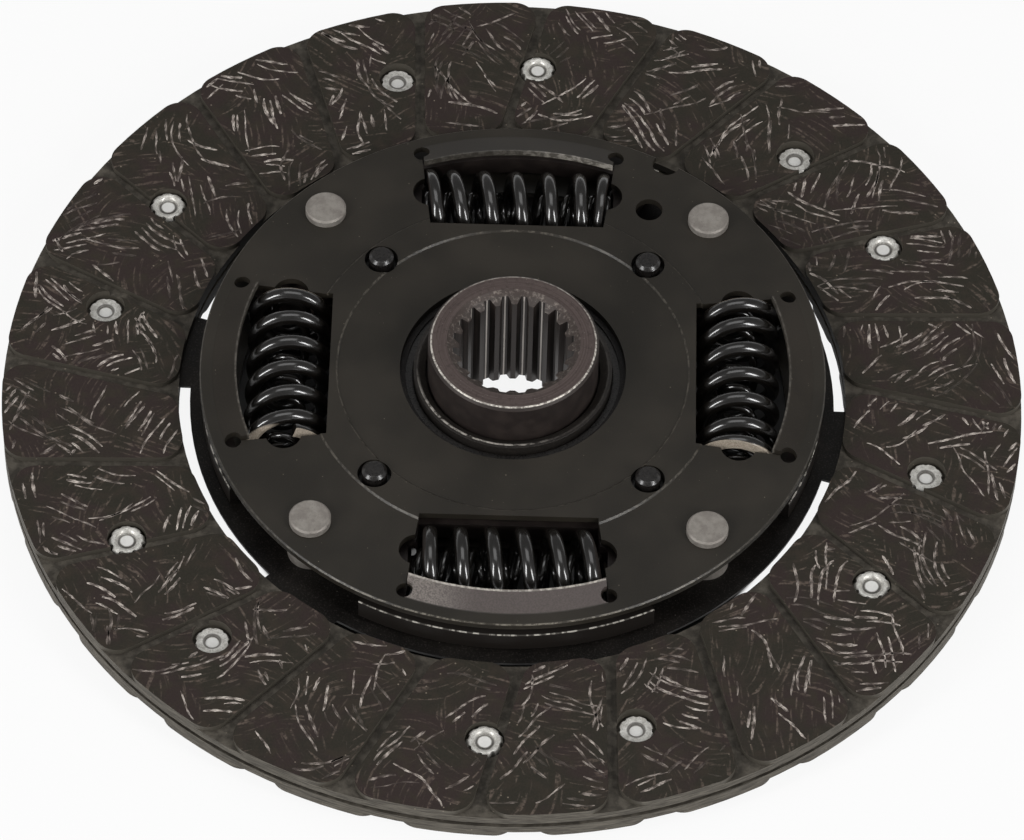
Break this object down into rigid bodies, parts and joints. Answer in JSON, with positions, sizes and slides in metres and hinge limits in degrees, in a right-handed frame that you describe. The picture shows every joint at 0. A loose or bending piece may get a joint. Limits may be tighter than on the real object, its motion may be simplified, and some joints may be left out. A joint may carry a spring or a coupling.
{
  "type": "clutch disc",
  "caption": "Round friction clutch disc: grooved ring facings riveted to a cushion disc, pressed plates with coil damper springs, and a splined hub.",
  "frame": {"origin": "centre of the hub's lower end face, which is the lowest point of the part", "axes": "+Z along the disc's axis, towards the longer end of the hub that stands out of the cover plate; a spring window lies on each of +X, +Y, -X and -Y"},
  "size_m": [0.2, 0.2, 0.026],
  "materials": {
    "facing": "moulded friction lining, dark grey-brown with pale yarn streaks",
    "facing_rivet": "bright zinc-plated steel rivets",
    "plate_steel": "black, satin, pressed steel",
    "cushion_steel": "blued spring steel strip",
    "carrier_rivet": "dark steel rivets",
    "hub_steel": "phosphated forged steel with machined ends",
    "spring_steel": "glossy black spring wire, bare ground ends",
    "inner_spring_steel": "glossy black spring wire",
    "pin_steel": "grey steel pins, riveted over",
    "bush": "dark filled plastic, slightly worn",
    "support_ring": "black steel ring with pegs",
    "diaphragm": "blued spring steel"
  },
  "bodies": {
    "disc": {"carrier_rivets": "carrier_rivet", "cover_plate": "plate_steel", "cushion_disc": "cushion_steel", "diaphragm_spring": "diaphragm", "drive_plate": "plate_steel", "facing_rivets_head_up": "facing_rivet", "facing_rivets_petal_up": "facing_rivet", "inner_spring_1": "inner_spring_steel", "inner_spring_2": "inner_spring_steel", "inner_spring_3": "inner_spring_steel", "inner_spring_4": "inner_spring_steel", "lower_bush": "bush", "lower_facing": "facing", "outer_spring_1": "spring_steel", "outer_spring_2": "spring_steel", "outer_spring_3": "spring_steel", "outer_spring_4": "spring_steel", "stop_pin_1": "pin_steel", "stop_pin_2": "pin_steel", "stop_pin_3": "pin_steel", "stop_pin_4": "pin_steel", "support_ring": "support_ring", "upper_bush": "bush", "upper_facing": "facing"},
    "hub": {"hub": "hub_steel"}
  },
  "joints": [
    {"name": "hub_twist", "type": "hinge", "parent": "disc", "child": "hub", "pos_m": [0, 0, 0.0113], "axis": [0, 0, 1], "range_deg": [-12, 12], "stiffness_Nm_per_rad": 690, "deforming": ["inner_spring_1", "inner_spring_2", "inner_spring_3", "inner_spring_4", "outer_spring_1", "outer_spring_2", "outer_spring_3", "outer_spring_4"]}
  ]
}
